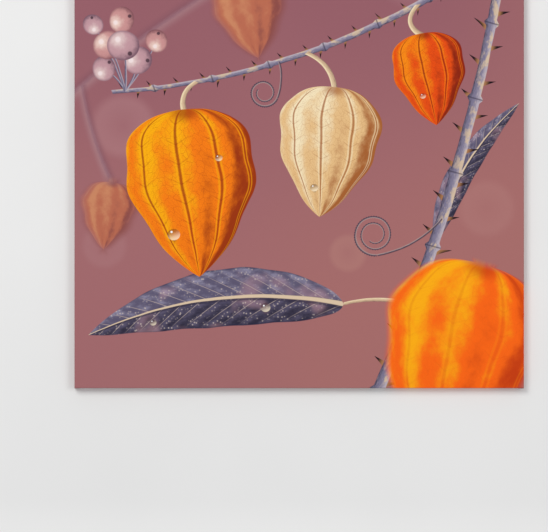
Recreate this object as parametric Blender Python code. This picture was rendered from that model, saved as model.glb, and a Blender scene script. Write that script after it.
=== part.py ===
"""A frameless wall picture: a printed canvas stretched over a braced pine frame.

Lengths are in metres and +Z is up. The picture faces -Y and hangs against a wall in the plane
Y = 0. The origin is the point on that wall midway between the two saw-tooth hangers, level with
the roots of their teeth. In "picture coordinates" X and Z are counted from the middle of the
square print, and depth is counted from the back of the bars towards the front.
"""

import math

import bmesh
import bpy
from mathutils import Matrix, Vector

# Driving dimensions.
PICTURE_SIDE = 1.200
CLOTH = 0.0005
GAP = 0.0003  # between pieces that touch in the real object
RUN_PAST = 0.002  # how far a cutter goes beyond the face it opens

BAR_WIDTH = 0.045
BAR_DEPTH = 0.020
BAR_INNER_DEPTH = 0.0165  # the front of a bar slopes down to this, clear of the cloth
BEAD_WIDTH = 0.004  # the raised outer edge that carries the cloth
BAR_FRONT_RADIUS = 0.0015
BAR_BACK_RADIUS = 0.001
CLOTH_FRONT_RADIUS = 0.002
CLOTH_BACK_RADIUS = 0.0015
TURN_OVER = 0.025  # cloth folded over the back of the bars

BRACE_WIDTH = 0.035
BRACE_LOW, BRACE_HIGH = 0.002, 0.014  # depths of a brace's two faces
TENON_MARGIN = 0.0035
TENON_LENGTH = 0.012

WEDGE_THICKNESS = 0.004
WEDGE_DEPTHS = (0.0055, 0.0115)  # of the middles of a corner's two wedges
WEDGE_DRIVEN, WEDGE_PROUD = 0.022, 0.018  # lengths inside and outside the corner
WEDGE_TIP = 0.0032
WEDGE_TAPER = 0.2
WEDGE_CHAMFER = 0.002
SLOT_WIDTH = 0.0092

HANGER_OFFSET = 0.400  # from the middle of the picture
HANG_HEIGHT = 0.560  # of the roots of the teeth over the middle of the picture
HANGER_HEIGHT = 0.0095
HANGER_PLATE = 0.0009
HANGER_RISE = 0.0018
HANGER_END, HANGER_RAMP, HANGER_MIDDLE = 0.010, 0.003, 0.036
TOOTH_COUNT = 12
TOOTH_DEPTH = 0.0015

NAIL_RADIUS, NAIL_LENGTH = 0.0008, 0.014
NAIL_HEAD_RADIUS, NAIL_HEAD_HEIGHT = 0.0019, 0.001
NAIL_HOLE_RADIUS, NAIL_HOLE_DEPTH = 0.0011, 0.015

BUMPER_RADIUS, BUMPER_THICKNESS = 0.007, 0.003
BUMPER_CHAMFER = 0.0008
BUMPER_INSET = 0.0125  # of its middle from the picture's upper or lower edge
BUMPER_FROM_SIDE = 0.060  # clear of the folded corner of the cloth

# What follows from them.
HALF = PICTURE_SIDE / 2
FRAME_HALF = HALF - CLOTH - GAP
CLOTH_BACK = -BUMPER_THICKNESS - GAP
BAR_BACK = CLOTH_BACK - CLOTH - GAP
CLOTH_FRONT = BAR_BACK - BAR_DEPTH - GAP - CLOTH
BAR_INNER = FRAME_HALF - BAR_WIDTH
MITRE_GAP = GAP / 2 * math.sqrt(2)

ARC_STEPS = 4
ROUND_STEPS = 24
# Degrees about the Y axis from the lower bar to each bar, and from the lower left corner to each.
TURNS = {"bottom": 0, "left": 90, "top": 180, "right": 270}
CORNERS = {"bottom_left": 0, "top_left": 90, "top_right": 180, "bottom_right": 270}


def material(name, colour, roughness, metallic=0.0):
    """A Principled material of one colour."""
    made = bpy.data.materials.new(name)
    made.use_nodes = True
    shader = made.node_tree.nodes["Principled BSDF"]
    shader.inputs["Base Color"].default_value = (*colour, 1.0)
    shader.inputs["Roughness"].default_value = roughness
    shader.inputs["Metallic"].default_value = metallic
    return made


def add(name, shape, finish=None, at=(0, 0, 0), turn=0.0):
    """A bmesh as an object in picture coordinates, turned by degrees about the Y axis."""
    mesh = bpy.data.meshes.new(name)
    bmesh.ops.recalc_face_normals(shape, faces=shape.faces)
    shape.to_mesh(mesh)
    shape.free()
    made = bpy.data.objects.new(name, mesh)
    bpy.context.scene.collection.objects.link(made)
    made.parent = bpy.data.objects["picture_centre"]
    made.location = at
    made.rotation_euler = (0, math.radians(turn), 0)
    if finish:
        mesh.materials.append(finish)
    return made


def add_cutter(name, shape, at=(0, 0, 0), turn=0.0):
    """A helper that only cuts others."""
    made = add(name, shape, at=at, turn=turn)
    made.hide_render = True
    made.display_type = "WIRE"
    return made


def cut(target, *cutters):
    """Takes the cutters out of the target."""
    for cutter in cutters:
        made = target.modifiers.new(cutter.name, "BOOLEAN")
        made.operation = "DIFFERENCE"
        made.solver = "EXACT"
        made.object = cutter


def block(low, high):
    """A box between two corners."""
    shape = bmesh.new()
    size = [b - a for a, b in zip(low, high)]
    middle = [(a + b) / 2 for a, b in zip(low, high)]
    place = Matrix.Translation(middle) @ Matrix.Diagonal((*size, 1))
    bmesh.ops.create_cube(shape, size=1, matrix=place)
    return shape


def skin(rings, close_ends=True):
    """A surface through rings of points, with its first and last ring filled if asked."""
    shape = bmesh.new()
    rows = [[shape.verts.new(point) for point in ring] for ring in rings]
    for near, far in zip(rows, rows[1:]):
        for i in range(len(near)):
            j = (i + 1) % len(near)
            shape.faces.new((near[i], near[j], far[j], far[i]))
    if close_ends:
        shape.faces.new(rows[0])
        shape.faces.new(rows[-1])
    return shape


def turned(profile):
    """A solid turned about the Y axis from (radius, y) points that start and end off it."""
    rings = []
    for radius, y in profile:
        angles = [2 * math.pi * i / ROUND_STEPS for i in range(ROUND_STEPS)]
        rings.append([(radius * math.cos(a), y, radius * math.sin(a)) for a in angles])
    return skin(rings)


def arc(middle, radius, start, end):
    """Points on an arc about middle, with angles in degrees."""
    points = []
    for i in range(ARC_STEPS + 1):
        angle = math.radians(start + (end - start) * i / ARC_STEPS)
        points.append((middle[0] + radius * math.cos(angle), middle[1] + radius * math.sin(angle)))
    return points


def round_off(made):
    """Smooth shading that keeps the sharp edges."""
    made.data.shade_smooth()
    made.data.set_sharp_from_angle(angle=math.radians(35))


def bar_section():
    """A bar's section as (distance in from its outer face, depth) points."""
    back, front = BAR_BACK_RADIUS, BAR_FRONT_RADIUS
    return [
        (BAR_WIDTH, 0.0),
        (BAR_WIDTH, BAR_INNER_DEPTH),
        (2 * BEAD_WIDTH, BAR_INNER_DEPTH + 0.0005),
        (BEAD_WIDTH, BAR_DEPTH),
        *arc((front, BAR_DEPTH - front), front, 90, 180),
        *arc((back, back), back, 180, 270),
    ]


def make_bars(finish):
    """Four bars, mitred at 45 degrees, each the lower bar turned about the middle."""
    bars = {}
    for side, turn in TURNS.items():
        ends = []
        for sign in (-1, 1):
            ring = []
            for inward, depth in bar_section():
                x = sign * (FRAME_HALF - inward - MITRE_GAP)
                ring.append((x, BAR_BACK - depth, inward - FRAME_HALF))
            ends.append(ring)
        bars[side] = add(f"bar_{side}", skin(ends), finish, turn=turn)
    return bars


def brace_shape():
    """A brace along the X axis, with a tenon on each end."""
    length, wide = BAR_INNER - GAP, BRACE_WIDTH / 2
    shape = block((-length, BAR_BACK - BRACE_HIGH, -wide), (length, BAR_BACK - BRACE_LOW, wide))
    ends = [face for face in shape.faces if abs(face.normal.x) > 0.9]
    for end in ends:
        away = Vector((math.copysign(TENON_LENGTH, end.normal.x), 0, 0))
        bmesh.ops.inset_region(shape, faces=[end], thickness=TENON_MARGIN, use_even_offset=True)
        grown = bmesh.ops.extrude_face_region(shape, geom=[end])
        bmesh.ops.delete(shape, geom=[end], context="FACES_ONLY")
        points = [item for item in grown["geom"] if isinstance(item, bmesh.types.BMVert)]
        bmesh.ops.translate(shape, verts=points, vec=away)
    return shape


def lap_shape(face):
    """What a brace loses where the two cross: its half that ends at this depth."""
    middle = (BRACE_LOW + BRACE_HIGH) / 2
    outward = math.copysign(1, face - middle)
    near = BAR_BACK - (middle - outward * GAP / 2)
    far = BAR_BACK - (face + outward * RUN_PAST)
    reach = BRACE_WIDTH / 2 + GAP
    low, high = min(near, far), max(near, far)
    return block((-reach, low, -BRACE_WIDTH), (reach, high, BRACE_WIDTH))


def make_braces(finish):
    """A cross brace and an upright one, half-lapped where they cross."""
    braces = (("cross", 0, BRACE_LOW), ("upright", 90, BRACE_HIGH))
    for name, turn, lapped_face in braces:
        brace = add(f"brace_{name}", brace_shape(), finish, turn=turn)
        cut(brace, add_cutter(f"lap_{name}", lap_shape(lapped_face), turn=turn))


def cut_mortises(bars):
    """A pocket in the middle of each bar for a brace's tenon."""
    wide = BRACE_WIDTH / 2 - TENON_MARGIN + GAP
    low = BAR_BACK - (BRACE_HIGH - TENON_MARGIN + GAP)
    high = BAR_BACK - (BRACE_LOW + TENON_MARGIN - GAP)
    floor = -BAR_INNER - TENON_LENGTH - 2 * GAP
    for side, turn in TURNS.items():
        shape = block((-wide, low, floor), (wide, high, -BAR_INNER + RUN_PAST))
        cut(bars[side], add_cutter(f"mortise_{side}", shape, turn=turn))


def wedge_outline(hand):
    """A wedge's outline as (along the diagonal, across it) points, for hand 1 or -1."""
    straight = -SLOT_WIDTH / 2 + GAP
    tail = straight + WEDGE_TIP + WEDGE_TAPER * (WEDGE_DRIVEN + WEDGE_PROUD)
    points = [
        (WEDGE_DRIVEN, straight),
        (WEDGE_DRIVEN, straight + WEDGE_TIP),
        (-WEDGE_PROUD + WEDGE_CHAMFER, tail - WEDGE_TAPER * WEDGE_CHAMFER),
        (-WEDGE_PROUD, tail - WEDGE_CHAMFER),
        (-WEDGE_PROUD, straight + WEDGE_CHAMFER),
        (-WEDGE_PROUD + WEDGE_CHAMFER, straight),
    ]
    return [(along, across * hand) for along, across in points]


def wedge_shape(hand, middle):
    """A wedge whose thickness has its middle at this Y."""
    faces = []
    for y in (middle - WEDGE_THICKNESS / 2, middle + WEDGE_THICKNESS / 2):
        faces.append([(along, y, across) for along, across in wedge_outline(hand)])
    return skin(faces)


def slot_shape(middle):
    """The slot for a wedge. It starts before the inner corner, as its sides meet wood there."""
    reach = WEDGE_THICKNESS / 2 + GAP
    low = (-SLOT_WIDTH, middle - reach, -SLOT_WIDTH / 2)
    high = (WEDGE_DRIVEN + RUN_PAST, middle + reach, SLOT_WIDTH / 2)
    return block(low, high)


def make_wedges(finish, bars):
    """Two wedges in slots at each corner, which tighten the cloth by spreading the mitre."""
    sides = list(TURNS)
    for number, (corner, turn) in enumerate(CORNERS.items()):
        mitred = (bars[sides[number]], bars[sides[(number + 1) % len(sides)]])
        inner_corner = Vector((-BAR_INNER, 0, -BAR_INNER))
        at = Matrix.Rotation(math.radians(turn), 3, "Y") @ inner_corner
        for mark, hand, depth in zip("ab", (1, -1), WEDGE_DEPTHS):
            name = f"{corner}_{mark}"
            place = {"at": at, "turn": turn + 135}
            middle = BAR_BACK - depth
            add(f"wedge_{name}", wedge_shape(hand, middle), finish, **place)
            slot = add_cutter(f"slot_{name}", slot_shape(middle), **place)
            for bar in mitred:
                cut(bar, slot)


def hanger_stations():
    """Stations along a hanger, as (x, height of the lower edge, rise off the wood)."""
    half = HANGER_MIDDLE / 2
    pitch = HANGER_MIDDLE / TOOTH_COUNT
    teeth = []
    for i in range(TOOTH_COUNT):
        x = -half + i * pitch
        teeth += [(x, 0.0, HANGER_RISE), (x + pitch / 2, -TOOTH_DEPTH, HANGER_RISE)]
    foot = half + HANGER_RAMP
    tip = foot + HANGER_END
    return [
        (-tip, 0.0, 0.0),
        (-foot, 0.0, 0.0),
        *teeth,
        (half, 0.0, HANGER_RISE),
        (foot, 0.0, 0.0),
        (tip, 0.0, 0.0),
    ]


def hanger_shape(low):
    """A saw-tooth strip whose ends lie on the wood at this Y and whose middle stands off it."""
    rings = []
    for x, lower, rise in hanger_stations():
        near, far = low + rise, low + rise + HANGER_PLATE
        upper = HANGER_HEIGHT
        rings.append([(x, near, lower), (x, far, lower), (x, far, upper), (x, near, upper)])
    return skin(rings)


def make_hangers(finish, top_bar):
    """Two saw-tooth hangers, each held to the upper bar by two nails."""
    low = BAR_BACK + GAP
    under_head = low + HANGER_PLATE + GAP
    hole_bottom = -NAIL_HOLE_DEPTH - HANGER_PLATE
    nail_at = HANGER_MIDDLE / 2 + HANGER_RAMP + HANGER_END / 2
    for side, sign in (("left", -1), ("right", 1)):
        middle = Vector((sign * HANGER_OFFSET, 0, HANG_HEIGHT))
        hanger = add(f"hanger_{side}", hanger_shape(low), finish, at=middle)
        for hand, shift in (("inner", -sign * nail_at), ("outer", sign * nail_at)):
            at = middle + Vector((shift, under_head, HANGER_HEIGHT / 2))
            round_off(add(f"nail_{side}_{hand}", nail_shape(), finish, at=at))
            shape = turned([(NAIL_HOLE_RADIUS, RUN_PAST), (NAIL_HOLE_RADIUS, hole_bottom)])
            hole = add_cutter(f"hole_{side}_{hand}", shape, at=at)
            cut(hanger, hole)
            cut(top_bar, hole)


def nail_shape():
    """A nail with a domed head, its underside at Y = 0 and its shank towards -Y."""
    thin = NAIL_RADIUS / 4
    return turned(
        [
            (NAIL_HEAD_RADIUS / 4, NAIL_HEAD_HEIGHT),
            (NAIL_HEAD_RADIUS * 0.7, NAIL_HEAD_HEIGHT * 0.8),
            (NAIL_HEAD_RADIUS, NAIL_HEAD_HEIGHT * 0.35),
            (NAIL_HEAD_RADIUS, 0.0),
            (NAIL_RADIUS, 0.0),
            (NAIL_RADIUS, -NAIL_LENGTH + 2 * NAIL_RADIUS),
            (thin, -NAIL_LENGTH),
        ]
    )


def make_bumpers(finish):
    """Four rubber bumpers, which keep the back off the wall."""
    flat = BUMPER_RADIUS - BUMPER_CHAMFER
    profile = [(flat, 0.0), (BUMPER_RADIUS, -BUMPER_CHAMFER), (BUMPER_RADIUS, -BUMPER_THICKNESS)]
    for row, up in (("top", 1), ("bottom", -1)):
        for column, right in (("left", -1), ("right", 1)):
            x = right * (HALF - BUMPER_FROM_SIDE)
            z = up * (HALF - BUMPER_INSET)
            round_off(add(f"bumper_{row}_{column}", turned(profile), finish, at=(x, 0, z)))


def make_canvas(finish):
    """The cloth: its front, its four sides, and what is turned over the back of the bars."""
    front, back = CLOTH_FRONT_RADIUS, CLOTH_BACK_RADIUS
    path = [
        (HALF - TURN_OVER, CLOTH_BACK),
        *arc((HALF - back, CLOTH_BACK - back), back, 90, 0),
        *arc((HALF - front, CLOTH_FRONT + front), front, 0, -90),
    ]
    rings = [[(-h, y, -h), (h, y, -h), (h, y, h), (-h, y, h)] for h, y in path]
    shape = skin(rings, close_ends=False)
    shape.verts.ensure_lookup_table()
    shape.faces.new(shape.verts[-4:])
    canvas = add("canvas", shape, finish)
    thick = canvas.modifiers.new("cloth", "SOLIDIFY")
    thick.thickness = CLOTH
    thick.offset = -1
    thick.use_even_offset = True


def main():
    for item in list(bpy.data.objects):
        bpy.data.objects.remove(item)
    centre = bpy.data.objects.new("picture_centre", None)
    bpy.context.scene.collection.objects.link(centre)
    centre.location = (0, 0, -HANG_HEIGHT)

    pine = material("pine", (0.62, 0.43, 0.24), 0.65)
    beech = material("beech", (0.56, 0.36, 0.20), 0.6)
    zinc = material("zinc", (0.62, 0.60, 0.55), 0.35, 1.0)
    rubber = material("rubber", (0.03, 0.03, 0.03), 0.6)
    print_cloth = material("printed_canvas", (0.36, 0.15, 0.16), 0.8)

    bars = make_bars(pine)
    make_braces(pine)
    cut_mortises(bars)
    make_wedges(beech, bars)
    make_hangers(zinc, bars["top"])
    make_bumpers(rubber)
    make_canvas(print_cloth)


main()
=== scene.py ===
"""Looks of a frameless wall picture: printed canvas on a braced pine frame, seen on a pale wall.

Lengths are in metres. The picture faces -Y and hangs on the wall Y = 0. The UV map "Print" says
where each point of the cloth is on the flat, uncut sheet: (along, up) from the middle of the print.
"""

import math
import random

import bmesh
import bpy
from mathutils import Matrix, Vector


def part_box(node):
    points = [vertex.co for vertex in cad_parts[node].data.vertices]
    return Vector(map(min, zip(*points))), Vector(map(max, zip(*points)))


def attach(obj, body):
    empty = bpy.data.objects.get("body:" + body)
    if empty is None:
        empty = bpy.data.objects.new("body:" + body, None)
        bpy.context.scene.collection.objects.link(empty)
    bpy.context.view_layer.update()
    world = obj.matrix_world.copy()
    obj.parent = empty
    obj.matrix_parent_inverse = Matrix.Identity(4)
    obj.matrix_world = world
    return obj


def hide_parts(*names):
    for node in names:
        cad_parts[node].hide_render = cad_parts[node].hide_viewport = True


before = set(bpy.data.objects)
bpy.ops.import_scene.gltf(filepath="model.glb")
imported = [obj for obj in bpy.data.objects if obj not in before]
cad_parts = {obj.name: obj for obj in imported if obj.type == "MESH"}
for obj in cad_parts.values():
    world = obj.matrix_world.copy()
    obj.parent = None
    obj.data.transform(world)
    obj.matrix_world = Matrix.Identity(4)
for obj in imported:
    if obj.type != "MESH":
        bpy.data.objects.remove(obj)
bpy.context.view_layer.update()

cloth_low, cloth_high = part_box("canvas")
HALF = (cloth_high.x - cloth_low.x) / 2  # half the side of the picture
MIDDLE_Z = (cloth_high.z + cloth_low.z) / 2
FRONT = cloth_low.y
BACK = cloth_high.y

CLOTH = 0.0005  # thickness
FRONT_RADIUS = 0.002
BACK_RADIUS = 0.0015
TURN_OVER = 0.025  # from the side of the picture to the cut edge on its back


# ------------ arithmetic on material nodes


def linear(code):
    """A colour such as "f3790f" as linear red, green and blue."""
    channels = [int(code[i : i + 2], 16) / 255 for i in (0, 2, 4)]
    return tuple(c / 12.92 if c <= 0.04045 else ((c + 0.055) / 1.055) ** 2.4 for c in channels)


def feed(tree, socket, value):
    """Gives a node's input a Term, a colour such as "f3790f", or a value."""
    if isinstance(value, Term):
        tree.links.new(value.socket, socket)
    elif isinstance(value, str):
        socket.default_value = (*linear(value), 1)
    else:
        socket.default_value = value


class Term:
    """A node's output. Arithmetic on it, or one of the functions below, adds a node."""

    def __init__(self, tree, socket):
        self.tree = tree
        self.socket = socket

    def node(self, kind, inputs, output=0, **settings):
        made = self.tree.nodes.new(kind)
        for name, value in settings.items():
            setattr(made, name, value)
        for key, value in inputs.items():
            feed(self.tree, made.inputs[key], value)
        return Term(self.tree, made.outputs[output])

    def math(self, operation, *terms):
        return self.node("ShaderNodeMath", dict(enumerate(terms)), operation=operation)

    def __add__(self, other):
        return self.math("ADD", self, other)

    __radd__ = __add__

    def __sub__(self, other):
        return self.math("SUBTRACT", self, other)

    def __rsub__(self, other):
        return self.math("SUBTRACT", other, self)

    def __mul__(self, other):
        return self.math("MULTIPLY", self, other)

    __rmul__ = __mul__

    def __truediv__(self, other):
        return self.math("DIVIDE", self, other)

    def __pow__(self, other):
        return self.math("POWER", self, other)

    def __neg__(self):
        return self.math("MULTIPLY", self, -1.0)

    def __abs__(self):
        return self.math("ABSOLUTE", self)


def sin(term):
    return term.math("SINE", term)


def cos(term):
    return term.math("COSINE", term)


def sqrt(term):
    return term.math("SQRT", term)


def fraction(term):
    return term.math("FRACT", term)


def least(term, other):
    return term.math("MINIMUM", term, other)


def most(term, other):
    return term.math("MAXIMUM", term, other)


def hypotenuse(a, b):
    """How far away a spot is that is a to the side and b up."""
    return sqrt(a * a + b * b)


def ramp(term, start, end):
    """0 before start, 1 after end, and a smooth way between. start may be the larger one."""
    values = {0: term, 1: start, 2: end}
    return term.node("ShaderNodeMapRange", values, interpolation_type="SMOOTHSTEP")


def blend(first, second, factor):
    """A mix of two colours: the first where factor is 0, the second where it is 1."""
    values = {0: factor, 6: first, 7: second}
    return factor.node("ShaderNodeMix", values, 2, data_type="RGBA")


def point(first, second, third=0.0):
    """A vector from its parts."""
    return first.node("ShaderNodeCombineXYZ", {0: first, 1: second, 2: third})


def parts(vector, count=2):
    """The first parts of a vector."""
    split = vector.node("ShaderNodeSeparateXYZ", {0: vector})
    return [Term(split.tree, split.socket.node.outputs[i]) for i in range(count)]


def place(vector, at=(0, 0), turn=0.0, size=1.0):
    """The vector in a frame moved to at, turned by degrees, and enlarged."""
    inputs = {0: vector, 1: (*at, 0), 2: (0, 0, math.radians(turn)), 3: (size, size, size)}
    return vector.node("ShaderNodeMapping", inputs, vector_type="TEXTURE")


def noise(vector, scale, detail=2.0, roughness=0.5):
    """Smooth noise from about 0 to 1, with its middle at 0.5."""
    inputs = {"Vector": vector, "Scale": scale, "Detail": detail, "Roughness": roughness}
    return vector.node("ShaderNodeTexNoise", inputs)


def cells(vector, scale, feature="DISTANCE_TO_EDGE"):
    """Distance to the edge of, or to the middle of, the nearest of many cells."""
    inputs = {"Vector": vector, "Scale": scale}
    return vector.node("ShaderNodeTexVoronoi", inputs, feature=feature, voronoi_dimensions="2D")


def new_material(name):
    """A new material with nodes, and its shader."""
    made = bpy.data.materials.new(name)
    made.use_nodes = True
    return made, made.node_tree.nodes["Principled BSDF"]


def coordinates(made, uv_map=None):
    """Where a point of the surface is: in the shared frame, or in a UV map."""
    if uv_map:
        node = made.node_tree.nodes.new("ShaderNodeUVMap")
        node.uv_map = uv_map
        return Term(made.node_tree, node.outputs[0])
    node = made.node_tree.nodes.new("ShaderNodeTexCoord")
    return Term(made.node_tree, node.outputs["Object"])


def finish_material(made, shader, colour, roughness, height=None, depth=0.0001):
    """Gives a material its colour and roughness, and its bump where it has one."""
    feed(made.node_tree, shader.inputs["Base Color"], colour)
    feed(made.node_tree, shader.inputs["Roughness"], roughness)
    if height is not None:
        bump = height.node("ShaderNodeBump", {"Height": height, "Distance": depth})
        feed(made.node_tree, shader.inputs["Normal"], bump)
    return made


# ------------ camera, light and background

SHARE_OF_FRAME = 0.8203  # that the picture takes up across the frame
CAMERA_DISTANCE = 8.0
CAMERA_LEFT = 0.0673  # of the middle of the picture
CAMERA_UP = 0.326  # over its lower edge

# Each light's place from the middle of the picture, the side of its square, and its watts.
LIGHTS = {
    "key": ((-2.4, -5.0, 2.6), 2.6, 166),
    "fill": ((3.4, -4.6, 0.4), 2.4, 72),
    "back_key": ((2.6, 4.2, 2.4), 2.0, 110),
    "back_fill": ((-3.0, 3.6, 0.4), 2.0, 35),
}
SURROUND = (0.93, 0.95, 1.0, 1)
SURROUND_STRENGTH = 0.51

FLOOR_DROP = 0.65  # of the floor below the picture
FLOOR_Z = MIDDLE_Z - HALF - FLOOR_DROP
FLOOR_REACH = 24.0
FLOOR_FADE = 0.2  # height in which the floor's darker tone goes over into the wall's
WALL_REACH = 5.0
WALL_HEIGHT = 3.6
WALL_CURVE = 0.35  # radius between floor and wall
CURVE_STEPS = 30


def make_camera():
    """A straight-on camera with a long lens, which cuts off the top of the picture."""
    data = bpy.data.cameras.new("camera")
    data.sensor_width = 36
    data.lens = data.sensor_width * CAMERA_DISTANCE * SHARE_OF_FRAME / (2 * HALF)
    data.clip_end = 100
    camera = bpy.data.objects.new("camera", data)
    bpy.context.scene.collection.objects.link(camera)
    z = MIDDLE_Z - HALF + CAMERA_UP
    camera.location = (-CAMERA_LEFT, FRONT - CAMERA_DISTANCE, z)
    camera.rotation_euler = (math.radians(90), 0, 0)
    bpy.context.scene.camera = camera


def make_lights():
    """Two large soft lights before the picture and two behind it, in a pale surround."""
    middle = Vector((0, 0, MIDDLE_Z))
    for name, (offset, side, power) in LIGHTS.items():
        data = bpy.data.lights.new(name, "AREA")
        data.size = side
        data.energy = power
        lamp = bpy.data.objects.new(name, data)
        bpy.context.scene.collection.objects.link(lamp)
        lamp.location = middle + Vector(offset)
        lamp.rotation_euler = (-Vector(offset)).to_track_quat("-Z", "Y").to_euler()
    world = bpy.data.worlds.new("soft_light")
    world.use_nodes = True
    background = world.node_tree.nodes["Background"]
    background.inputs[0].default_value = SURROUND
    background.inputs[1].default_value = SURROUND_STRENGTH
    bpy.context.scene.world = world
    bpy.context.scene.view_settings.view_transform = "Standard"


def backdrop_mesh():
    """A flat floor, and a wall that curves up from it in front of its own plane."""
    floor = [(-FLOOR_REACH, FLOOR_Z), (FLOOR_REACH, FLOOR_Z)]
    wall = []
    for i in range(CURVE_STEPS + 1):
        angle = math.radians(90 * i / CURVE_STEPS)
        y = -WALL_CURVE + WALL_CURVE * math.sin(angle)
        wall.append((y, FLOOR_Z + WALL_CURVE - WALL_CURVE * math.cos(angle)))
    wall.append((0.0, FLOOR_Z + WALL_HEIGHT))
    points, faces = [], []
    for reach, profile in ((FLOOR_REACH, floor), (WALL_REACH, wall)):
        first = len(points)
        points += [(x, y, z) for y, z in profile for x in (-reach, reach)]
        for i in range(first, len(points) - 2, 2):
            faces.append((i, i + 1, i + 3, i + 2))
    mesh = bpy.data.meshes.new("backdrop")
    mesh.from_pydata(points, [], faces)
    mesh.shade_smooth()
    return mesh


def backdrop_material():
    """Pale and matt, a little darker on the floor, and clear where it is seen from behind."""
    made, shader = new_material("pale_backdrop")
    where = coordinates(made)
    height = parts(where, 3)[2]
    pale = blend("efeeeb", "e6e5e2", noise(where, 1.5, 3.0))
    pale = blend("dddcd9", pale, ramp(height, FLOOR_Z, FLOOR_Z + FLOOR_FADE))
    finish_material(made, shader, pale, 0.9)
    tree = made.node_tree
    clear = tree.nodes.new("ShaderNodeBsdfTransparent")
    side = tree.nodes.new("ShaderNodeNewGeometry")
    choice = tree.nodes.new("ShaderNodeMixShader")
    tree.links.new(side.outputs["Backfacing"], choice.inputs[0])
    tree.links.new(shader.outputs[0], choice.inputs[1])
    tree.links.new(clear.outputs[0], choice.inputs[2])
    tree.links.new(choice.outputs[0], tree.nodes["Material Output"].inputs["Surface"])
    return made


def make_stage():
    """The pale floor and wall. They cast no shadow, and throw no colour on the picture."""
    backdrop = bpy.data.objects.new("backdrop", backdrop_mesh())
    bpy.context.scene.collection.objects.link(backdrop)
    backdrop.data.materials.append(backdrop_material())
    backdrop.visible_shadow = False
    backdrop.visible_diffuse = False


# ------------ meshes

SHARP_ANGLE = 40  # in degrees: an edge that turns more than this stays sharp


def add_piece(name, mesh, materials):
    """A mesh as a shown piece that rides with the picture."""
    for made in materials:
        mesh.materials.append(made)
    mesh.shade_smooth()
    mesh.set_sharp_from_angle(angle=math.radians(SHARP_ANGLE))
    piece = bpy.data.objects.new(name, mesh)
    bpy.context.scene.collection.objects.link(piece)
    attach(piece, "root")
    return piece


def finished_mesh(name, shape):
    """The mesh of a shape, which is used up."""
    mesh = bpy.data.meshes.new(name)
    shape.to_mesh(mesh)
    shape.free()
    return mesh


def put_in_order(shape):
    """Sorts the edges and faces by their corners, so that the mesh is the same in every run."""
    shape.verts.index_update()
    count = len(shape.verts)

    def order(element):
        corners = [corner.index for corner in element.verts]
        return min(corners) * count + max(corners)

    shape.edges.sort(key=order)
    shape.faces.sort(key=order)


def add_tube(shape, spots, across, outline):
    """A closed tube along the spots. across is a direction that its outline's first axis keeps to.

    outline lists the tube's (across, up) corners, as seen along the way it goes.
    """
    rings = []
    for i, spot in enumerate(spots):
        way = spots[min(i + 1, len(spots) - 1)] - spots[max(i - 1, 0)]
        side = (across - way * across.dot(way) / way.length_squared).normalized()
        up = side.cross(way).normalized()
        rings.append([shape.verts.new(spot + side * a + up * b) for a, b in outline])
    count = len(outline)
    for near, far in zip(rings, rings[1:]):
        for i in range(count):
            shape.faces.new((near[i], near[(i + 1) % count], far[(i + 1) % count], far[i]))
    shape.faces.new(reversed(rings[0]))
    shape.faces.new(rings[-1])


def edge_turn(quarter):
    """The turn from the upper edge, 0, to another edge of the picture, 1 to 3."""
    return Matrix.Rotation(math.radians(90 * quarter), 3, "Y")


def on_edge(spot, quarter):
    """A spot given for the upper edge as (along, y, outward), in its place on any of the edges."""
    return edge_turn(quarter) @ Vector(spot) + Vector((0, 0, MIDDLE_Z))


# ------------ the stretched cloth

NEARLY = 1e-6
FLAT_HALF = HALF - FRONT_RADIUS  # half the side of the flat part of the front
SAG = 0.0006  # of the middle of the front
STAPLE_PITCH = 0.058
OVER = (0, 2)  # the upper and lower edge, whose cloth lies over the others' at the corners
UNDER = (1, 3)

# Columns of the mesh are close together near a corner: how many there are, and how far apart.
NEAR_COLUMNS = ((7, 0.0015), (6, 0.0025), (4, 0.004))
MIDDLE_COLUMNS = 72
SQUEEZE = 0.045  # from a corner, where the columns make room for the slanting fold

FOLD_LIFT = 2.2 * CLOTH  # two layers that don't lie quite flat
FOLD_RISE = 0.006  # cloth in which it comes up to that, from the start of the side on
FOLD_HEM = 0.014  # cloth folded under at a corner
HEM_DEPTH = 0.95 * FOLD_LIFT  # of the hem below the cloth over it
HEM_STEP = 0.004  # from where a hem ends to where the cloth over it is down again
HEM_BEND_STEPS = 5
TUCK = 0.004  # cloth of a left or right edge that goes on under the fold
TUCK_RISE = 0.008  # cloth in which it comes to that
UNDERLAP = 0.008  # its cloth on the back beyond the slanting fold

PUCKER = 0.0005  # how far the cut edge stands up between two staples
CUT_WAVES = ((0.0010, 29, 0), (0.0006, 71, 1))  # height, radians per metre, and start

BAKE_REACH = HALF + 0.052  # half the side of the square of cloth that is laid out
BAKE_PRINTED = ((0.005, 0.005), 0.82)  # low corner and side on the map
BAKE_BARE = ((0.835, 0.005), 0.16)


def wrap_path():
    """The cloth's way round an edge, as (outward, y, normal outward, normal y, flat) rows.

    flat is the distance along the cloth from the flat part of the front.
    """
    rows = []

    def add(outward, y, normal):
        flat = rows[-1][4] + math.dist(rows[-1][:2], (outward, y)) if rows else 0.0
        rows.append((outward, y, *normal, flat))

    def turn(outward, y, radius, start, steps):
        for i in range(1 if rows else 0, steps + 1):
            angle = math.radians(start + 90 * i / steps)
            normal = (math.cos(angle), math.sin(angle))
            add(outward + radius * normal[0], y + radius * normal[1], normal)

    def straight(outward, y, normal, steps):
        first = rows[-1]
        for i in range(1, steps + 1):
            share = i / steps
            add(first[0] + (outward - first[0]) * share, first[1] + (y - first[1]) * share, normal)

    turn(FLAT_HALF, FRONT + FRONT_RADIUS, FRONT_RADIUS, start=-90, steps=6)
    straight(HALF, BACK - BACK_RADIUS, normal=(1, 0), steps=10)
    turn(HALF - BACK_RADIUS, BACK - BACK_RADIUS, BACK_RADIUS, start=0, steps=5)
    straight(HALF - TURN_OVER, BACK, normal=(0, 1), steps=12)
    return rows


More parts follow.
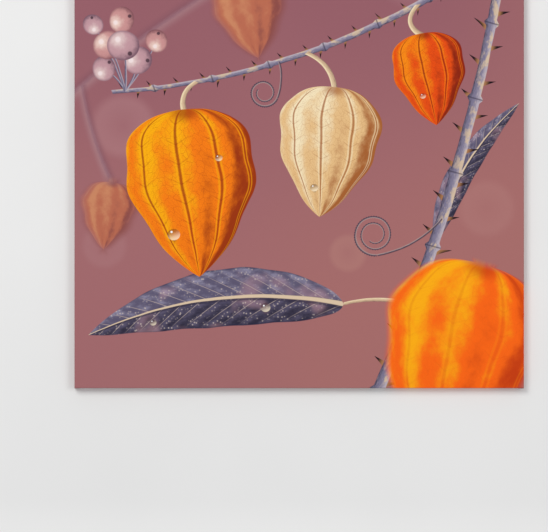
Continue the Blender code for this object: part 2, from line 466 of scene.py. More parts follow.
PATH = wrap_path()
SIDE_START = next(row[4] for row in PATH if row[0] > HALF - NEARLY)
BACK_START = next(row[4] for row in PATH if row[1] > BACK - NEARLY)


def uneven_cut(along, flat):
    """How far the turned-over cloth goes on too far, and stands up, because it was cut by hand."""
    share = max(flat - BACK_START, 0.0) / (PATH[-1][4] - BACK_START)
    too_far = sum(height * math.sin(rate * along + start) for height, rate, start in CUT_WAVES)
    pucker = PUCKER * (1 - math.cos(2 * math.pi * along / STAPLE_PITCH)) / 2
    return share * too_far, share * share * pucker


def smooth_step(value, start, end):
    """0 before start, 1 after end, and a smooth way between."""
    share = min(max((value - start) / (end - start), 0.0), 1.0)
    return share * share * (3 - 2 * share)


def columns(slant=0.0):
    """Distances from a corner of the columns along one side, squeezed to clear a slanting fold."""
    near = [FRONT_RADIUS]
    for count, pitch in NEAR_COLUMNS:
        near += [near[-1] + pitch * i for i in range(1, count + 1)]
    width = 2 * (HALF - near[-1])
    middle = [near[-1] + width * i / MIDDLE_COLUMNS for i in range(1, MIDDLE_COLUMNS)]
    near = [slant + t * (SQUEEZE - slant) / SQUEEZE for t in near[1:]]
    return near + middle + [2 * HALF - t for t in reversed(near)]


def front_rows():
    """The front as rows of (along, y, up, flat along, flat up), sagging a little in its middle."""
    stations = [-FLAT_HALF, *(t - HALF for t in columns()), FLAT_HALF]
    rows = []
    for up in stations:
        row = []
        for along in stations:
            room = (1 - (along / FLAT_HALF) ** 2) * (1 - (up / FLAT_HALF) ** 2)
            row.append((along, FRONT + SAG * math.sqrt(room), up, along, up))
        rows.append(row)
    return rows


def fold_lift(flat):
    """How far the folded corner stands up: nothing at the front, then two layers of cloth."""
    return FOLD_LIFT * smooth_step(flat, SIDE_START, SIDE_START + FOLD_RISE)


def folded_end(slant, hem, lift):
    """The end of an upper or lower edge's cloth, folded in, as (from corner, height, flat) spots."""
    bend = math.pi * lift / 2
    spots = []
    for share in (1, 0.5):
        spots.append((slant + hem * share, lift - HEM_DEPTH, slant - bend - hem * share))
    for i in range(HEM_BEND_STEPS + 1):
        angle = math.pi * i / HEM_BEND_STEPS
        outward = math.sin(angle) * lift / 2
        height = lift - HEM_DEPTH * (1 + math.cos(angle)) / 2
        spots.append((slant - outward, height, slant - bend * (1 - i / HEM_BEND_STEPS)))
    return spots


def over_rows():
    """An upper or lower edge, whose ends are folded in and lie over the left and right cloth."""
    rows = []
    for outward, y, normal_out, normal_y, flat in PATH:
        slant = max(flat - BACK_START, 0.0)
        hem = min(max(flat - SIDE_START, 0.0), FOLD_HEM)
        lift = fold_lift(flat)
        end = folded_end(slant, hem, lift)
        spots = list(end)
        for t in columns(slant):
            from_fold = min(t, 2 * HALF - t) - slant
            spots.append((t, lift * (1 - smooth_step(from_fold, hem, hem + HEM_STEP)), t))
        spots += [(2 * HALF - t, height, 2 * HALF - own) for t, height, own in reversed(end)]
        limit = math.inf
        if flat < SIDE_START:  # on the rounded front edge: flat, and ending at the mitre
            spots = [(t, 0.0, own) for t, height, own in spots]
            limit = outward
        row = []
        for t, height, own in spots:
            along = max(min(t - HALF, limit), -limit)
            further, up = uneven_cut(along, flat)
            spot = (along, y + normal_y * height + up, outward + normal_out * height - further)
            row.append((*spot, own - HALF, FLAT_HALF + flat + further))
        rows.append(row)
    return rows


def under_rows():
    """A left or right edge, whose ends go on a little under the folds of the upper and lower."""
    rows = []
    for outward, y, normal_out, _, flat in PATH:
        slant = max(flat - BACK_START - UNDERLAP, 0.0)
        tuck = TUCK * smooth_step(flat, SIDE_START, SIDE_START + TUCK_RISE)
        limit, sink = HALF, FOLD_LIFT - fold_lift(flat)
        if flat < SIDE_START:  # on the rounded front edge: ending at the mitre
            limit, sink = outward, 0.0
        end = [(slant + sink, back) for back in (tuck, tuck / 2, 0.0)]
        spots = end + [(t, 0.0) for t in columns(slant)]
        spots += [(2 * HALF - t, back) for t, back in reversed(end)]
        row = []
        for t, back in spots:
            along = max(min(t - HALF, limit), -limit)
            own = along + math.copysign(back, along)
            further, up = uneven_cut(along, flat)
            spot = (along, y + up, outward - normal_out * back - further)
            row.append((*spot, own, FLAT_HALF + flat + further))
        rows.append(row)
    return rows


def add_rows(shape, flat_map, rows, quarter):
    """A grid of faces through the rows, in its place on one of the edges."""
    turned = edge_turn(quarter)
    grid = []
    for row in rows:
        grid.append([])
        for along, y, outward, own_along, own_outward in row:
            flat = turned @ Vector((own_along, 0, own_outward))
            vert = shape.verts.new(on_edge((along, y, outward), quarter))
            grid[-1].append((vert, (flat.x, flat.z)))
    for low, high in zip(grid, grid[1:]):
        for i in range(len(low) - 1):
            corners = (low[i], low[i + 1], high[i + 1], high[i])
            face = shape.faces.new([vert for vert, flat in corners])
            for loop, (vert, flat) in zip(face.loops, corners):
                loop[flat_map].uv = flat


def cloth_mesh():
    """The whole cloth as one closed mesh: its printed side, then its bare side and cut edge."""
    shape = bmesh.new()
    flat_map = shape.loops.layers.uv.new("Print")
    add_rows(shape, flat_map, front_rows(), 0)
    for quarter in OVER:
        add_rows(shape, flat_map, over_rows(), quarter)
    for quarter in UNDER:
        add_rows(shape, flat_map, under_rows(), quarter)
    bmesh.ops.remove_doubles(shape, verts=shape.verts, dist=2 * NEARLY)
    printed = list(shape.faces)
    bmesh.ops.solidify(shape, geom=printed, thickness=CLOTH)
    for face in set(shape.faces) - set(printed):
        face.material_index = 1
    put_in_order(shape)
    return finished_mesh("canvas_print", shape)


def lay_out_for_baking(mesh):
    """A second map, with the printed side on most of it and the bare side small beside it."""
    flat_map = mesh.uv_layers["Print"].data
    bake_map = mesh.uv_layers.new(name="OFBake").data
    for face in mesh.polygons:
        (left, low), side = BAKE_BARE if face.material_index else BAKE_PRINTED
        for i in face.loop_indices:
            along, up = ((spot + BAKE_REACH) / (2 * BAKE_REACH) for spot in flat_map[i].uv)
            bake_map[i].uv = (left + side * along, low + side * up)


def make_cloth():
    """The printed canvas in place of its plain solid."""
    mesh = cloth_mesh()
    lay_out_for_baking(mesh)
    materials = [print_material(), bare_cloth_material()]
    canvas = add_piece("canvas_print", mesh, materials)
    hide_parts("canvas")
    cut = 2 * (FLAT_HALF + PATH[-1][4])
    threads = make_loose_threads()


# ------------ staples and loose threads

STAPLE_CROWN = 0.0105
STAPLE_LEG = 0.0012  # down to just inside the wood
STAPLE_BEND = 0.0006  # radius between crown and leg
BEND_STEPS = 4
STAPLE_THICK = 0.00056
STAPLE_WIDE = 0.0010
STAPLE_FROM_SIDE = 0.0145
STAPLES_FROM_CORNER = 0.055
STAPLE_LEAN = 5  # standard deviation, in degrees
STAPLE_SUNK = (0.0002, 0.00035)  # the least and the most
FOLD_STAPLE = (0.027, 0.0165)  # from the corner along the edge, and in from the edge

THREADS_PER_EDGE = 46
THREAD_RADIUS = 0.00014
THREAD_STEPS = 4


def add_staple(shape, at, turn, sunk):
    """A flat-wire staple with its crown on the cloth, turned by degrees on the back."""
    local = []
    half = STAPLE_CROWN / 2
    for side in (-1, 1):
        bend = []
        for i in range(BEND_STEPS + 1):
            angle = math.radians(90 * i / BEND_STEPS)
            out = half - STAPLE_BEND + STAPLE_BEND * math.sin(angle)
            rise = STAPLE_BEND * math.cos(angle) - STAPLE_BEND
            bend.append((side * out, rise))
        bend.append((side * half, -STAPLE_LEG))
        local += reversed(bend) if side < 0 else bend
    turned = Matrix.Rotation(math.radians(turn), 3, "Y")
    spots = [Vector(at) + turned @ Vector((a, rise + STAPLE_BEND - sunk, 0)) for a, rise in local]
    wide, thick = STAPLE_WIDE / 2, STAPLE_THICK / 2
    outline = [(-wide, -thick), (wide, -thick), (wide, thick), (-wide, thick)]
    add_tube(shape, spots, turned @ Vector((0, 0, 1)), outline)


def make_staples():
    """Staples all along the turned-over cloth, none quite straight, and one at each fold."""
    draw = random.Random(11)
    shape = bmesh.new()
    count = int(2 * (HALF - STAPLES_FROM_CORNER) / STAPLE_PITCH)
    for quarter in range(4):
        for i in range(count + 1):
            along = (i - count / 2) * STAPLE_PITCH + draw.uniform(-0.004, 0.004)
            higher = Vector((0, 0, draw.uniform(-0.001, 0.001)))
            lean = draw.gauss(0, STAPLE_LEAN)
            at = on_edge((along, BACK, HALF - STAPLE_FROM_SIDE), quarter) + higher
            add_staple(shape, at, 90 * quarter + lean, draw.uniform(*STAPLE_SUNK))
        for side in (-1, 1):
            if quarter in OVER:
                spot = (side * (HALF - FOLD_STAPLE[0]), BACK + FOLD_LIFT, HALF - FOLD_STAPLE[1])
                lean = draw.gauss(0, STAPLE_LEAN)
                add_staple(shape, on_edge(spot, quarter), side * (135 + lean), STAPLE_SUNK[0])
    bmesh.ops.recalc_face_normals(shape, faces=shape.faces)
    wire = metal_material("staple_wire", "d8d5cd", "aeaba4")
    add_piece("staples", finished_mesh("staples", shape), [wire])


def make_loose_threads():
    """Short ends of thread along the cut edge of the turned-over cloth."""
    draw = random.Random(5)
    shape = bmesh.new()
    outline = [(THREAD_RADIUS, 0), (0, THREAD_RADIUS), (-THREAD_RADIUS, 0), (0, -THREAD_RADIUS)]
    for quarter in range(4):
        for _ in range(THREADS_PER_EDGE):
            start = draw.uniform(-0.93, 0.93) * HALF
            length = draw.uniform(0.004, 0.010)
            lean, curl = draw.uniform(-0.6, 0.6), draw.uniform(-1.2, 1.2)
            y = BACK - draw.uniform(0.00015, 0.0004)
            spots = []
            for i in range(THREAD_STEPS + 1):
                share = i / THREAD_STEPS
                along = start + length * (lean * share + curl * share * share * 0.5)
                outward = HALF - TURN_OVER + 0.003 - length * share
                rise = 0.0006 * math.sin(math.pi * share) * abs(curl)
                spots.append(on_edge((along, y + rise, outward), quarter))
            add_tube(shape, spots, Vector((0, 1, 0)), outline)
    bmesh.ops.recalc_face_normals(shape, faces=shape.faces)
    mesh = finished_mesh("loose_threads", shape)
    return add_piece("loose_threads", mesh, [thread_material()])


# ------------ the printed design
#
# A branch of papery seed pods, painted layer on layer with shader nodes. Each motif takes the
# picture so far, paints itself over it in a frame of its own, and gives the new picture back.

DESIGN_HALF = 0.6  # half the side of the picture that the design is laid out for
EDGE = 0.0012  # how soft the outline of a sharp motif is
FAR_EDGE = 0.020
NEAR_EDGE = 0.014
SPIRAL_END = 0.3  # of a turn that a tendril's outer end stops short
SEED_ANGLE = 137.5  # from one seed in a head to the next

# Dark, middle and pale tones.
ORANGE = ("9a3407", "f97d0d", "feb106")
CREAM = ("a5602f", "e8bf86", "f8e7bf")
SCARLET = ("8a2206", "e94e0c", "fb8b0e")
NEAR = ("c63c08", "fc660f", "ffae0d")
FADED = ("8a4a44", "b8694f", "c98560")
SLATE = ("2e2a3c", "5d566e", "a39db4")
LILAC = ("6f4f5e", "c0959b", "e2c9c4")
ROSE = ("7a4a52", "c78f8c", "ecd0c2")
CREAM_BARK = ("7d5d57", "cdae8c", "f2ddb4")
VIOLET_BARK = ("352d40", "7d768d", "b9adb6")
FADED_BARK = ("7d505c", "916973", "a88084")
DARK_CORD = ("241c2b", "5a4a58", "b39c98")

# Faint discs of light: x, y, radius and colour.
DISCS = (
    (-0.47, 0.10, 0.085, "b58486"),
    (-0.52, -0.22, 0.060, "ad7a7c"),
    (0.50, -0.12, 0.075, "b37d78"),
    (0.30, 0.52, 0.100, "a5757c"),
    (0.13, -0.24, 0.050, "b98479"),
    (-0.12, 0.46, 0.070, "a97a80"),
)
# Hanging pods: where along the twig, the pod's middle, its turn, half its height, its tones, and
# how far its stalk bows.
FAR_PODS = (
    (0.68, (-0.13, 0.40), 10, 0.12, FADED, 0.01),
    (0.12, (-0.51, -0.14), -8, 0.09, FADED, 0.01),
)
BRANCH_PODS = (
    (0.24, (0.350, 0.225), 8, 0.125, SCARLET, 0.03),
    (0.53, (0.075, 0.030), -7, 0.175, CREAM, -0.02),
    (0.80, (-0.285, -0.080), 5, 0.225, ORANGE, 0.02),
)
# Dew drops: x, y and radius.
DROPS = (
    (-0.335, -0.190, 0.017),
    (-0.215, 0.015, 0.010),
    (0.040, -0.065, 0.011),
    (-0.090, -0.385, 0.013),
    (-0.390, -0.425, 0.009),
    (0.330, 0.180, 0.008),
)


def local_frame(below, where, at, turn=0.0, size=1.0):
    """x and y in a motif's own frame.

    They lean on the picture below by next to nothing. That makes Cycles paint one motif after
    another, where it would run out of room if it worked out all of them side by side.
    """
    inputs = {0: below, 1: (1e-7, 1e-7, 0.0), 2: where}
    waiting = where.node("ShaderNodeVectorMath", inputs, operation="MULTIPLY_ADD")
    return parts(place(waiting, at, turn, size))


def motif(paint):
    """Makes a function that paints over the picture do so in a node group of its own."""

    def paint_in_group(below, where, *choices, **more_choices):
        group = bpy.data.node_groups.new(paint.__name__, "ShaderNodeTree")
        group.interface.new_socket("below", in_out="INPUT", socket_type="NodeSocketColor")
        group.interface.new_socket("where", in_out="INPUT", socket_type="NodeSocketVector")
        group.interface.new_socket("picture", in_out="OUTPUT", socket_type="NodeSocketColor")
        given = group.nodes.new("NodeGroupInput").outputs
        picture = paint(Term(group, given[0]), Term(group, given[1]), *choices, **more_choices)
        group.links.new(picture.socket, group.nodes.new("NodeGroupOutput").inputs[0])
        return below.node("ShaderNodeGroup", {0: below, 1: where}, node_tree=group)

    return paint_in_group


def three_tones(light, tones, share=0.5):
    """The colour for an amount of light: dark at 0, the middle tone at share, and pale at 1."""
    toned = light.node("ShaderNodeValToRGB", {0: light})
    ramp_of_tones = toned.socket.node.color_ramp
    ramp_of_tones.interpolation = "EASE"
    ramp_of_tones.elements.new(share)
    for element, tone in zip(ramp_of_tones.elements, tones):
        element.color = (*linear(tone), 1)
    return toned


def warped(where, scale, amount):
    """The same vector, moved a little this way and that, so that no outline is perfect."""
    shift = where.node("ShaderNodeTexNoise", {"Vector": where, "Scale": scale, "Detail": 2.0}, 1)
    centred = where.node("ShaderNodeVectorMath", {0: shift, 1: (0.5, 0.5, 0.5)}, operation="SUBTRACT")
    inputs = {0: centred, 1: (amount, amount, 0.0), 2: where}
    return where.node("ShaderNodeVectorMath", inputs, operation="MULTIPLY_ADD")


def mauve_ground(where):
    """A soft, out-of-focus ground with faint discs of light."""
    across, up = parts(where)
    cloud = noise(where, 1.7)
    high = blend("945d65", "a2696b", ramp(up + cloud * 0.5, 0.75, -0.05))
    picture = blend(high, "a86d69", ramp(across - up + cloud, 0.3, 1.5))
    for x, y, radius, colour in DISCS:
        side, rise = local_frame(picture, where, (x, y), 0, radius)
        far = hypotenuse(side, rise)
        picture = blend(picture, colour, ramp(far, 1.15, 0.75) * ramp(far, -0.8, 1.0) * 0.4)
    return picture


def pod_paper(across, y, tones, net):
    """The papery skin of a pod. net is the strength of its ribs, veins and fine net."""
    dark, _, pale = tones
    angle = across.math("ARCSINE", least(most(across, -1.0), 1.0))
    turn_by_ribs = angle / math.radians(36) + 0.22 + 0.16 * y
    to_rib = 0.5 - abs(fraction(turn_by_ribs) - 0.5)
    side_veins = fraction(to_rib * 1.1 + y * -4.2)
    fold = sin(turn_by_ribs * (2 * math.pi) + 0.9)
    crumple = noise(point(angle, y * 1.2), 3.2, 4.0, 0.6)
    light = 0.58 - across * 0.36 + y * 0.18 + fold * 0.15 + (crumple - 0.5) * 0.80
    light = light - abs(across) ** 5 * 0.45
    paper = three_tones(light, tones)
    web = cells(point(angle * 1.4, y * 1.9 - to_rib * 0.7), 7.0)
    fine_web = cells(point(angle * 1.5, y * 2.2), 19.0)
    paper = blend(paper, dark, ramp(fine_web, 0.09, 0.0) * 0.30 * net)
    paper = blend(paper, dark, ramp(web, 0.055, 0.0) * 0.42 * net)
    branch = ramp(abs(side_veins - 0.5), 0.055, 0.0) * ramp(to_rib, 0.42, 0.05)
    paper = blend(paper, dark, branch * 0.5 * net)
    paper = blend(paper, pale, ramp(abs(to_rib - 0.075), 0.05, 0.0) * 0.5 * net)
    return blend(paper, dark, ramp(to_rib, 0.055, 0.015) * 0.8 * net)


@motif
def pod(below, where, at, turn, size, tones, soft=EDGE, net=1.0):
    """A papery pod that hangs tip down. size is half its height."""
    x, y = local_frame(below, where, at, turn, size)
    rise = least(most((y + 1) / 2, 0.001), 0.999)
    wobble = 1 + 0.035 * sin(y * 9 + at[0] * 40)
    width = 1.70 * rise**0.82 * (1 - rise) ** 0.40 * wobble
    paper = pod_paper(x / width, y, tones, net)
    dimple = hypotenuse(x, (y - 0.96) * 1.7)
    paper = blend(paper, tones[0], ramp(dimple, 0.26, 0.03) * 0.75)
    inside = least(width - abs(x) - 0.012, 1 - abs(y)) * size
    return blend(below, paper, ramp(inside, -soft, soft))


def leaf_blade(x, y, middle, along, across):
    """The skin of a leaf, with its dots, side veins, dark margin and pale midrib.

    middle is the way from the midrib, along goes from 0 at the base to 1 at the tip, and across
    to 1 or -1 at the margin.
    """
    upper = ramp(middle, -0.004, 0.004)
    slant = x * 6.5 - abs(middle) * 11 + 0.25 * upper
    vein = abs(fraction(slant) - 0.5)
    bulge = sin(slant * (2 * math.pi))
    mottle = noise(point(x, y * 2.0), 9.0, 5.0, 0.65)
    light = 0.30 + upper * 0.22 + across * 0.16 + bulge * 0.07 + (mottle - 0.5) * 0.9
    blade = three_tones(light, SLATE)
    blade = blend(blade, "b98f98", ramp(noise(point(x, y), 3.0), 0.52, 0.68) * 0.45)
    dots = ramp(cells(point(x, y), 34.0, "F1"), 0.26, 0.16) * ramp(mottle, 0.46, 0.62)
    blade = blend(blade, "d8c6ba", dots * 0.55)
    line = ramp(vein, 0.045, 0.012) * ramp(abs(across), 1.0, 0.35)
    blade = blend(blade, "c7b2a8", line * 0.62)
    blade = blend(blade, "1f2440", ramp(abs(across), 0.86, 0.98) * 0.8)
    rib = 0.020 * (1.15 - along)
    blade = blend(blade, "332c40", ramp(abs(middle + 0.01), rib * 1.6, rib * 1.1) * 0.7)
    return blend(blade, "dcc3a4", ramp(abs(middle), rib, rib * 0.55))


@motif
def leaf(below, where, base, turn, size, slim=0.27):
    """A long leaf that points from its base in a direction in degrees. size is half its length."""
    x, y = local_frame(below, where, base, turn, size)
    x = x - 1
    if math.cos(math.radians(turn)) < 0:
        y = -y
    middle = y + 0.16 * (x * x - 1)
    along = least(most((x + 1) / 2, 0.001), 0.999)
    width = slim * 2.15 * along**0.55 * (1 - along) ** 0.80 * (1 + 0.018 * sin(x * 17))
    blade = leaf_blade(x, y, middle, along, middle / width)
    inside = least(width - abs(middle) - 0.010, 1 - abs(x)) * size
    return blend(below, blade, ramp(inside, -EDGE, EDGE))


@motif
def berry(below, where, at, size, turn, tones):
    """A round berry with a bloom on it, a dark eye and a soft window of light."""
    x, y = local_frame(below, where, at, turn, size)
    far = hypotenuse(x, y * 1.08)
    bloom = noise(point(x, y), 2.4, 4.0, 0.6)
    lit = hypotenuse(x + 0.32, y - 0.38)
    light = 1.02 - lit * 0.62 + (bloom - 0.5) * 0.45
    skin = three_tones(light, tones, 0.55)
    skin = blend(skin, tones[0], ramp(far, 0.80, 1.02) * 0.55)
    eye = hypotenuse(x - 0.42, y + 0.50)
    skin = blend(skin, "3d2734", ramp(eye, 0.17, 0.10) * 0.85)
    skin = blend(skin, "f3e2e0", ramp(lit, 0.24, 0.10) * 0.75)
    return blend(below, skin, ramp((far - 1) * size, EDGE, -EDGE))


@motif
def dew_drop(below, where, at, size):
    """A clear drop: dark where the light goes in, bright where it comes out."""
    x, y = local_frame(below, where, at, 0, size)
    far = hypotenuse(x, y * 1.12)
    inside = ramp((far - 1) * size, EDGE * 0.6, -EDGE * 0.6)
    shade = hypotenuse(x - 0.12, y + 1.35)
    below = blend(below, "43180c", ramp(shade, 0.75, 0.25) * ramp(far, 1.5, 0.9) * 0.55)
    depth = ramp(y + x * -0.4, -0.9, 0.8)
    water = blend(below, "fff0cf", (1 - depth) * inside * 0.62)
    water = blend(water, "3a1109", depth * inside * 0.50)
    spark = hypotenuse(x + 0.34, y - 0.40)
    return blend(water, "ffffff", ramp(spark, 0.22, 0.12) * 0.95)


class Curve:
    """The bowed middle line of a twig from start to end, and its half thickness.

    bow is how far it swings out sideways, and tip the share of its thickness at its end.
    """

    def __init__(self, start, end, bow, thick, tip=0.6):
        way = Vector(end) - Vector(start)
        self.at = start
        self.turn = math.degrees(math.atan2(-way.x, way.y))
        self.length = way.length
        self.bow = bow
        self.thick = thick
        self.tip = tip

    def spot(self, share):
        """The spot at a share of its length."""
        side = self.bow * 4 * share * (1 - share)
        local = Vector((side, share * self.length))
        return tuple(Vector(self.at) + Matrix.Rotation(math.radians(self.turn), 2) @ local)


def thorned(below, from_middle, y, half, thick, thorns, ends):
    """The picture with dark thorns along both sides of a twig, one every so many metres."""
    side = from_middle.math("SIGN", from_middle)
    hook = y - abs(from_middle) * 0.45
    step = abs(fraction(hook / thorns + side * 0.27) - 0.5) * thorns
    spike = (1 - step / (thick * 0.42)) * thick * 1.9
    prick = blend("a9764f", "21121a", ramp(abs(from_middle / half), 1.0, 2.2))
    mask = ramp(spike + half - abs(from_middle), 0.0, EDGE)
    return blend(below, prick, mask * ends * ramp(spike, 0.0, 0.001))


@motif
def twig(below, where, curve, tones, thorns=0.0, joints=0.0, soft=EDGE):
    """A twig, with thorns and swollen joints where their spacing is given."""
    x, y = local_frame(below, where, curve.at, curve.turn)
    share = y / curve.length
    middle = x - curve.bow * 4 * share * (1 - share)
    slope = (1 - share * 2) * (4 * curve.bow / curve.length)
    from_middle = middle / sqrt(slope * slope + 1)
    half = curve.thick * (1 - share * (1 - curve.tip))
    if joints:
        near_joint = abs(fraction(y / joints) - 0.5) * joints
        half = half + curve.thick * 0.45 * ramp(near_joint, 0.013, 0.0)
    grain = noise(point(from_middle * 6, y), 70.0, 3.0, 0.6)
    light = 0.58 + from_middle / half * 0.42 + (grain - 0.5) * 0.7
    bark = three_tones(light, tones)
    if joints:
        patches = ramp(noise(point(from_middle * 2, y), 21.0, 3.0, 0.6), 0.50, 0.60)
        bark = blend(bark, "dcc09a", patches * ramp(light, 0.1, 0.8) * 0.75)
        bark = blend(bark, tones[0], ramp(near_joint, 0.0028, 0.0012) * 0.6)
    ends = ramp(y, -0.002, 0.002) * ramp(y - curve.length, 0.002, -0.002)
    if thorns:
        below = thorned(below, from_middle, y, half, curve.thick, thorns, ends)
    mask = ramp(half - abs(from_middle), -soft, soft)
    return blend(below, bark, mask * ends)


@motif
def tendril(below, where, at, turn, radius, turns, tones):
    """A curled, beaded tendril: a spiral round at."""
    x, y = local_frame(below, where, at, turn)
    far = hypotenuse(x, y)
    pitch = radius / turns
    angle = x.math("ARCTAN2", y, x) / (2 * math.pi)
    lap = far / pitch - angle
    to_line = (fraction(lap) - 0.5) * pitch
    whole = lap - fraction(lap) + angle
    beads = 0.80 + 0.20 * cos(whole * whole * 60)
    half = 0.0034 * (0.45 + 0.55 * far / radius) * beads
    cord = three_tones(0.6 - to_line / half * 0.4, tones)
    end = turns - SPIRAL_END
    within = ramp(whole, end, end - 0.01) * ramp(whole, 0.75, 0.80)
    mask = ramp(half - abs(to_line), -EDGE * 0.7, EDGE * 0.7)
    return blend(below, cord, mask * within)


def hanging_pod(picture, where, branch, share, at, turn, size, tones, bow, soft=EDGE):
    """A pod, and behind its top the stalk that it hangs on, from a share of the branch."""
    lean = Matrix.Rotation(math.radians(turn), 2) @ Vector((0, size * 0.93))
    top = (at[0] + lean.x, at[1] + lean.y)
    stalk = Curve(branch.spot(share), top, bow, 0.0052, 1.5)
    bark, net = (CREAM_BARK, 1.0) if soft == EDGE else (FADED_BARK, 0.0)
    picture = twig(picture, where, stalk, bark, soft=soft * 0.75)
    return pod(picture, where, at, turn, size, tones, soft, net)


def berry_cluster(picture, where, start, middle, count):
    """Berries of several sizes on short stalks, in the turning order of seeds in a head."""
    for i in reversed(range(count)):
        angle = math.radians(SEED_ANGLE * i + 40)
        out = 0.040 * math.sqrt(i)
        at = (middle[0] + out * math.cos(angle), middle[1] + out * math.sin(angle))
        picture = twig(picture, where, Curve(start, at, 0.006, 0.0026), VIOLET_BARK)
        picture = berry(picture, where, at, 0.043 - 0.0024 * i, 25 * i, (LILAC, ROSE)[i % 2])
    return picture


def curled_tendril(picture, where, start, at, radius, turns, bow):
    """A tendril that runs from its start into its spiral without a kink."""
    reach = radius * (turns - SPIRAL_END + 0.5) / turns
    far = math.dist(start, at)
    to_start = math.atan2(start[1] - at[1], start[0] - at[0])
    slope = math.atan2(4 * bow, math.sqrt(far * far - reach * reach))
    end_angle = to_start - math.acos(reach / far) + slope
    end = (at[0] + reach * math.cos(end_angle), at[1] + reach * math.sin(end_angle))
    turn = math.degrees(end_angle) - 360 * (turns - SPIRAL_END)
    picture = twig(picture, where, Curve(start, end, bow, 0.0024, 1.15), DARK_CORD)
    return tendril(picture, where, at, turn, radius, turns, DARK_CORD)


def painted_design(where):
    """The whole picture, from the ground and the far pods to the near pod and the drops."""
    where = place(where, size=HALF / DESIGN_HALF)
    shape = warped(where, 9.0, 0.006)
    far_twig = Curve((-0.68, 0.12), (0.24, 0.70), -0.05, 0.0085)
    stem = Curve((0.17, -0.70), (0.57, 0.72), 0.055, 0.0165, 0.7)
    branch = Curve(stem.spot(0.90), (-0.50, 0.19), -0.08, 0.0100, 0.5)
    leaf_base = (0.118, -0.375)
    leaf_stalk = Curve(stem.spot(0.235), leaf_base, 0.012, 0.0060)

    picture = mauve_ground(where)
    picture = twig(picture, where, far_twig, FADED_BARK, soft=FAR_EDGE)
    for far_pod in FAR_PODS:
        picture = hanging_pod(picture, where, far_twig, *far_pod, soft=FAR_EDGE)
    picture = twig(picture, shape, leaf_stalk, CREAM_BARK)
    picture = leaf(picture, shape, leaf_base, 187, 0.345)
    picture = leaf(picture, shape, stem.spot(0.36), 58, 0.215, slim=0.20)
    picture = twig(picture, shape, branch, VIOLET_BARK, thorns=0.071, joints=0.155)
    picture = twig(picture, shape, stem, VIOLET_BARK, thorns=0.094, joints=0.205)
    for branch_pod in BRANCH_PODS:
        picture = hanging_pod(picture, shape, branch, *branch_pod)
    picture = curled_tendril(picture, shape, branch.spot(0.60), (-0.095, 0.188), 0.036, 2.6, -0.008)
    picture = curled_tendril(picture, shape, stem.spot(0.40), (0.20, -0.19), 0.052, 3.2, -0.018)
    picture = berry_cluster(picture, shape, branch.spot(0.97), (-0.47, 0.315), 7)
    picture = pod(picture, where, (0.42, -0.53), -16, 0.27, NEAR, soft=NEAR_EDGE, net=0.25)
    for x, y, radius in DROPS:
        picture = dew_drop(picture, where, (x, y), radius)
    return picture


# ------------ materials

THREAD_PITCH = 0.00062
PRINT_ON_BACK = 0.004  # that the print goes on over the back edge
PRINT_EDGE = 0.0003

PINE_RING = 0.0027
PINE_KNOTS = 3
KNOT_RADIUS = 0.0055
KNOT_RING = 0.0013


def weave(where):
    """Height, from about 0 to 1, of a plain weave with threads of uneven thickness."""
    along, up = parts(warped(where, 60.0, 0.0006))
    step = math.pi / THREAD_PITCH
    crossing = sin(along * step) * sin(up * step)
    slubs = noise(point(along, up * 14), 55.0) + noise(point(along * 14, up), 55.0)
    return crossing * 0.5 + slubs * 0.5


def print_material():
    """Matt ink on white primed cotton. The print stops just over the back edge."""
    made, shader = new_material("printed_cloth")
    where = coordinates(made, uv_map="Print")
    shader.inputs["Specular IOR Level"].default_value = 0.1
    picture = painted_design(where)
    along, up = parts(where)
    threads = weave(where)
    picture = blend(picture, "c9b8ae", ramp(threads, 0.85, 1.5) * 0.10)
    printed_half = FLAT_HALF + BACK_START + PRINT_ON_BACK
    outward = most(abs(along), abs(up)) + noise(where, 900.0, 1.0) * PRINT_EDGE
    margin = ramp(outward, printed_half, printed_half + PRINT_EDGE)
    picture = blend(picture, "efece4", margin)
    return finish_material(made, shader, picture, 0.72, threads, 0.00009)


def bare_cloth_material():
    """Unbleached cotton with bits of seed husk in it, painted shade between its threads, and its cut
    edge.
    """
    made, shader = new_material("bare_cloth")
    where = coordinates(made, uv_map="Print")
    cloud = noise(where, 6.0, 4.0, 0.6)
    cotton = blend("dccfb4", "ebe2cd", cloud)
    husks = ramp(cells(where, 75.0, "F1"), 0.050, 0.020) * ramp(cloud, 0.47, 0.55)
    cotton = blend(cotton, "8d7351", husks * 0.7)
    threads = weave(where)
    # Painted shade: the cotton is darker where the weave is low, in the hollows between the threads.
    cotton = blend(cotton, "b9a988", ramp(threads, 0.55, 0.0) * 0.4)
    return finish_material(made, shader, cotton, 0.92, threads, 0.00016)


def thread_material():
    """Plain cotton."""
    made, shader = new_material("loose_thread")
    return finish_material(made, shader, "e6dcc6", 0.9)


def knotted(wood, from_knot, radius):
    """The wood with a knot in it: a darker halo, the ringed heart and a line of bark round that."""
    heart = blend("8b5228", "b27a45", fraction(from_knot / KNOT_RING))
    wood = blend(wood, "b9824c", ramp(from_knot, radius * 2.6, radius) * 0.55)
    wood = blend(wood, heart, ramp(from_knot, radius, radius * 0.9))
    bark = ramp(abs(from_knot - radius), radius * 0.16, 0.0)
    return blend(wood, "4f2c15", bark * 0.7)


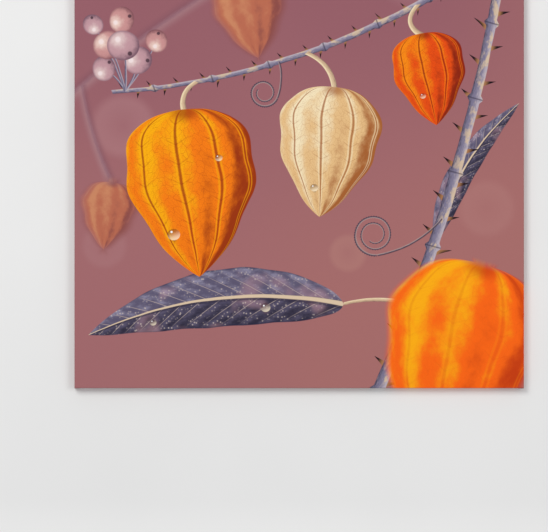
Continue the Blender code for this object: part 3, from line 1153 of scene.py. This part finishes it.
def pine_material(node, draw):
    """Planed softwood, whose grain runs the long way of a CAD node, with a few small knots."""
    low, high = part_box(node)
    middle, size = (low + high) / 2, high - low
    made, shader = new_material(f"pine_{node}")
    x, y, z = parts(coordinates(made), 3)
    upright = size.z > size.x
    along, across = (z - middle.z, x - middle.x) if upright else (x - middle.x, z - middle.z)
    deep = y - middle.y
    length, width = max(size.x, size.z), min(size.x, size.z)
    board = draw.uniform(0, 90)
    drift = noise(point(along + board, across * 2.5, deep * 2.5), 1.9)
    from_pith = hypotenuse(across - draw.uniform(-0.4, 0.4) * width, deep + draw.uniform(0.02, 0.06))
    radius = from_pith + (drift - 0.5) * 0.016
    knots = []
    for i in range(PINE_KNOTS):
        at = (i - 1 + draw.uniform(-0.35, 0.35)) * length / PINE_KNOTS
        aside = draw.uniform(-0.3, 0.3) * width
        from_knot = hypotenuse((along - at) * 0.75, across - aside)
        radius = radius + ramp(from_knot, 0.026, 0.0) * 0.011
        knots.append((from_knot, KNOT_RADIUS * draw.uniform(0.4, 1.0)))
    ring = fraction(radius / PINE_RING)
    late = ramp(ring, 0.30, 0.95) * ramp(ring, 1.0, 0.965)
    fibres = noise(point(along * 45, across * 1500, deep * 1500), 1.0, 3.0, 0.6)
    wood = blend("e8cb9d", "c48c50", late * 0.78 + (fibres - 0.5) * 0.45)
    wood = blend(wood, "d8a86f", ramp(drift, 0.40, 0.65) * draw.uniform(0.15, 0.45))
    wood = blend(wood, "a9713c", ramp(fibres, 0.58, 0.78) * 0.45)
    for from_knot, knot_radius in knots:
        wood = knotted(wood, from_knot, knot_radius)
    return finish_material(made, shader, wood, 0.62, late * 0.4 + fibres, 0.00012)


def beech_material():
    """Sawn hardwood with short dark flecks."""
    made, shader = new_material("beech_flecked")
    x, y, z = parts(coordinates(made), 3)
    fibres = noise(point(x * 60, z * 60, y * 500), 1.0, 3.0)
    flecks = noise(point(x * 340, z * 340, y * 2600), 1.0, 1.0)
    wood = blend("d9ae86", "bf8f66", ramp(fibres, 0.35, 0.70))
    wood = blend(wood, "8f6040", ramp(flecks, 0.60, 0.72) * 0.55)
    return finish_material(made, shader, wood, 0.6, fibres)


def metal_material(name, light, dark):
    """Plated steel with a faint spangle and fine handling marks."""
    made, shader = new_material(name)
    x, y, z = parts(coordinates(made), 3)
    spangle = cells(point(x + y * 0.3, z), 240.0, "F1")
    marks = noise(point(x * 900, z * 60, y * 900), 1.0, 3.0)
    plate = blend(light, dark, ramp(spangle * 0.5 + marks, 0.3, 1.1))
    shader.inputs["Metallic"].default_value = 1.0
    return finish_material(made, shader, plate, 0.30 + marks * 0.22, marks, 0.00003)


def rubber_material():
    """Dull black rubber with a little dust on it."""
    made, shader = new_material("dusty_rubber")
    where = coordinates(made)
    grain = noise(where, 1400.0, 3.0)
    black = blend("242424", "4a4947", ramp(noise(where, 160.0, 4.0), 0.50, 0.75))
    return finish_material(made, shader, black, 0.72, grain, 0.00008)


def finish_parts():
    """Procedural finishes on the CAD nodes that stay."""
    draw = random.Random(3)
    zinc = metal_material("zinc_plate", "e6e4dd", "c2bfb8")
    finishes = {"wedge": beech_material(), "hanger": zinc, "nail": zinc, "bumper": rubber_material()}
    for name, node in sorted(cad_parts.items()):
        kind = name.split("_")[0]
        if kind in ("bar", "brace"):
            node.material_slots[0].material = pine_material(name, draw)
        elif kind in finishes:
            node.material_slots[0].material = finishes[kind]


make_camera()
make_lights()
make_stage()
finish_parts()
make_cloth()
make_staples()
